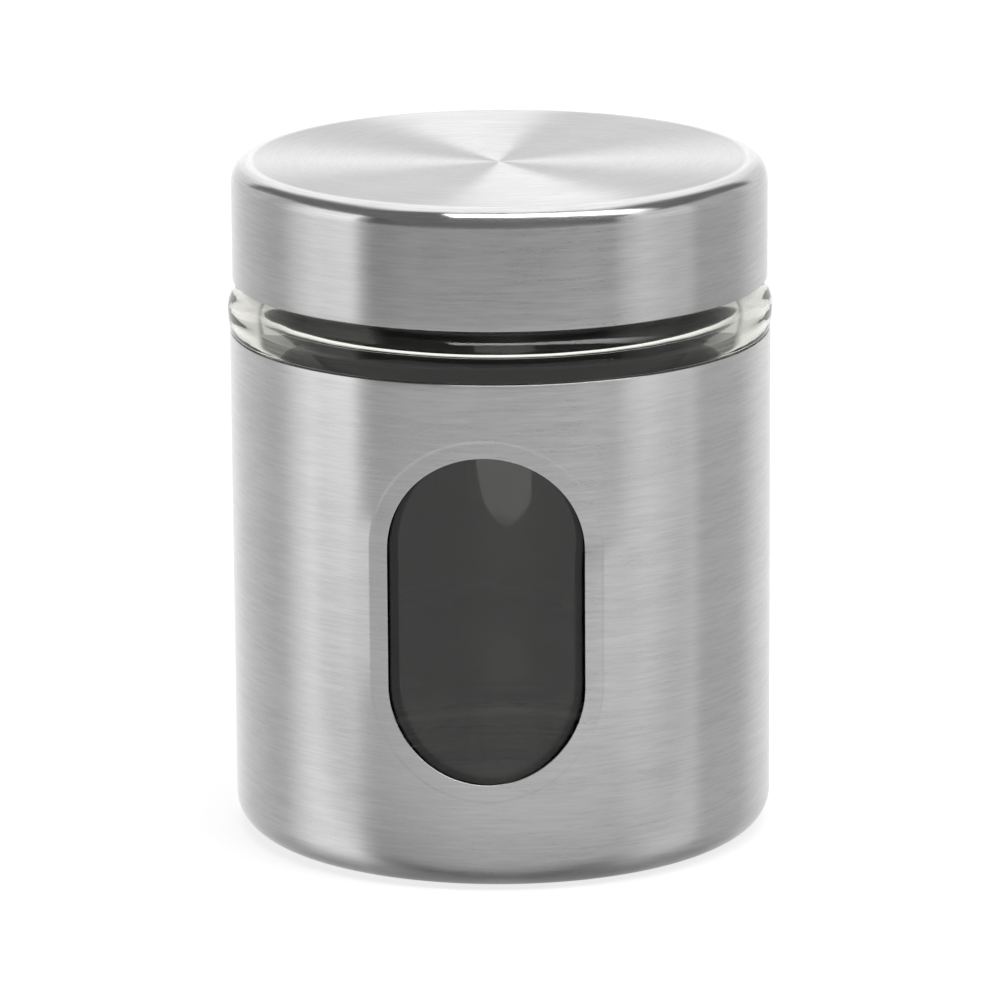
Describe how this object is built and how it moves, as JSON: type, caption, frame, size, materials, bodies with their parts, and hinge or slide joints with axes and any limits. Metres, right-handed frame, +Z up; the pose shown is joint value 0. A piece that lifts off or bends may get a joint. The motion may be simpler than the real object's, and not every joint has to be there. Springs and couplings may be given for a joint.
{
  "type": "kitchen canister",
  "caption": "Round glass canister in a brushed steel sleeve with an oval window, closed by a flat steel screw lid with a plastic liner and a sealing ring.",
  "frame": {"origin": "centre of the base, on the plane that the canister stands on", "axes": "+Z up along the canister's axis, -Y out of the window, +X to the right as seen from the window's side"},
  "size_m": [0.1028, 0.1028, 0.1285],
  "materials": {
    "glass": "clear, faintly green soda-lime glass",
    "sleeve_steel": "stainless, fine horizontal brushing",
    "lid_steel": "stainless, horizontal brushing on the side and circular brushing on top",
    "liner_plastic": "satin moulded grey polypropylene",
    "seal_rubber": "matt translucent silicone",
    "adhesive": "hot-melt adhesive"
  },
  "bodies": {
    "jar": {"glass_jar": "glass", "steel_sleeve": "sleeve_steel", "base_adhesive": "adhesive"},
    "sealing_ring": {"lid_seal": "seal_rubber"},
    "lid": {"lid_shell": "lid_steel", "lid_insert": "liner_plastic"}
  },
  "joints": [
    {"name": "lid_rise", "type": "slide", "parent": "jar", "child": "sealing_ring", "axis": [0, 0, 1], "range_m": [0, 0.03]},
    {"name": "lid_turn", "type": "hinge", "parent": "sealing_ring", "child": "lid", "pos_m": [0, 0, 0.117], "axis": [0, 0, 1], "range_deg": [0, 540]}
  ],
  "couplings": [
    {"joint": "lid_rise", "follows": "lid_turn", "m_per_rad": 0.0031831}
  ]
}
